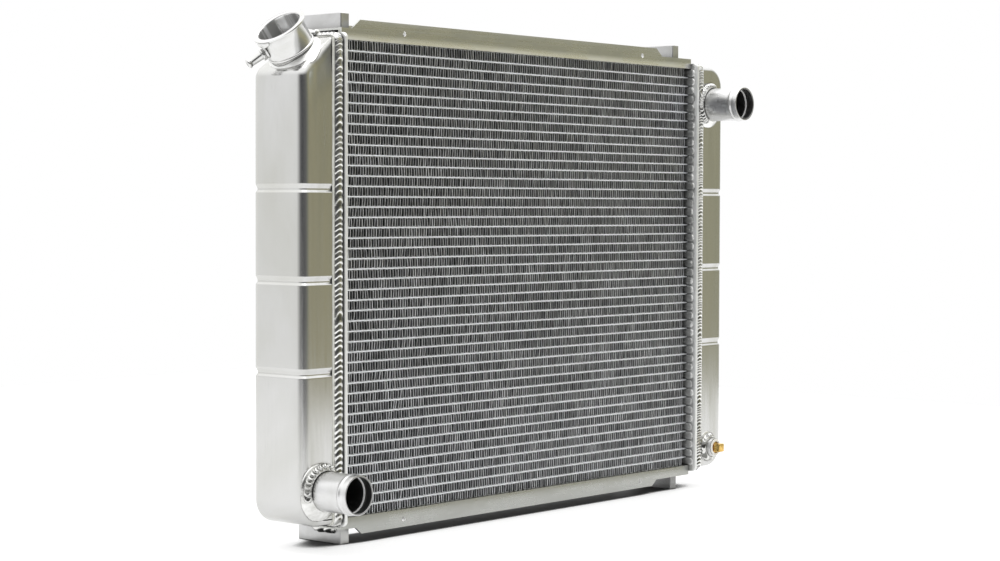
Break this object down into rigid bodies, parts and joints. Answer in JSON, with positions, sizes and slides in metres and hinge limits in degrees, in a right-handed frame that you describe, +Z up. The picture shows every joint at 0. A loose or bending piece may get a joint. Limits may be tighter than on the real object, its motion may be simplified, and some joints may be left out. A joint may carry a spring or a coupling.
{
  "type": "car radiator",
  "caption": "Upright crossflow engine radiator: brazed tube-and-fin core between two welded end tanks with hose necks, a filler neck, a drain plug and mounting bars.",
  "frame": {"origin": "bottom centre of the whole box, on the plane the two lower mounting bars stand on", "axes": "+X along the tubes, from the tank with the filler neck to the tank with the drain; -Y out of the side that carries the hose necks; +Z up"},
  "size_m": [0.7048, 0.1234, 0.5145],
  "materials": {
    "rolled_aluminium": "bright rolled sheet, faint grain and handling marks",
    "brazed_aluminium": "satin brazed",
    "fin_aluminium": "thin folded fin, dark between the folds",
    "weld_aluminium": "bright rippled weld",
    "turned_aluminium": "polished, turned",
    "brass": "bright machined",
    "white_nylon": "matt white"
  },
  "bodies": {
    "radiator": {"bung_weld": "weld_aluminium", "core_bank_01": "brazed_aluminium", "core_bank_02": "brazed_aluminium", "core_bank_03": "brazed_aluminium", "core_bank_04": "brazed_aluminium", "core_bank_05": "brazed_aluminium", "core_bank_06": "brazed_aluminium", "core_bank_07": "brazed_aluminium", "core_bank_08": "brazed_aluminium", "core_bank_09": "brazed_aluminium", "core_bank_10": "brazed_aluminium", "core_bank_11": "brazed_aluminium", "core_bank_12": "brazed_aluminium", "core_bank_13": "brazed_aluminium", "core_bank_14": "brazed_aluminium", "core_bank_15": "brazed_aluminium", "core_side_plate_bottom": "rolled_aluminium", "core_side_plate_top": "rolled_aluminium", "drain_bung": "turned_aluminium", "filler_neck": "turned_aluminium", "filler_weld": "weld_aluminium", "fin_strip_01": "fin_aluminium", "fin_strip_02": "fin_aluminium", "fin_strip_03": "fin_aluminium", "fin_strip_04": "fin_aluminium", "fin_strip_05": "fin_aluminium", "fin_strip_06": "fin_aluminium", "fin_strip_07": "fin_aluminium", "fin_strip_08": "fin_aluminium", "fin_strip_09": "fin_aluminium", "fin_strip_10": "fin_aluminium", "fin_strip_11": "fin_aluminium", "fin_strip_12": "fin_aluminium", "fin_strip_13": "fin_aluminium", "fin_strip_14": "fin_aluminium", "fin_strip_15": "fin_aluminium", "fin_strip_16": "fin_aluminium", "header_plate_left": "rolled_aluminium", "header_plate_right": "rolled_aluminium", "hose_neck_lower": "turned_aluminium", "hose_neck_upper": "turned_aluminium", "mount_bar_bottom_left": "rolled_aluminium", "mount_bar_bottom_right": "rolled_aluminium", "mount_bar_top_left": "rolled_aluminium", "mount_bar_top_right": "rolled_aluminium", "neck_weld_lower": "weld_aluminium", "neck_weld_upper": "weld_aluminium", "overflow_nipple": "turned_aluminium", "side_channel_bottom": "rolled_aluminium", "side_channel_top": "rolled_aluminium", "tank_left": "rolled_aluminium", "tank_right": "rolled_aluminium", "tank_weld_left": "weld_aluminium", "tank_weld_right": "weld_aluminium"},
    "washer": {"drain_washer": "white_nylon"},
    "plug": {"drain_plug": "brass"}
  },
  "joints": [
    {"name": "drain_slide", "type": "slide", "parent": "radiator", "child": "washer", "axis": [0, -1, 0], "range_m": [0, 0.00634]},
    {"name": "drain_turn", "type": "hinge", "parent": "washer", "child": "plug", "pos_m": [0.32655, -0.02425, 0.0468], "axis": [0, -1, 0], "range_deg": [0, 1620]}
  ],
  "couplings": [
    {"joint": "drain_turn", "follows": "drain_slide", "rad_per_m": 4453}
  ]
}
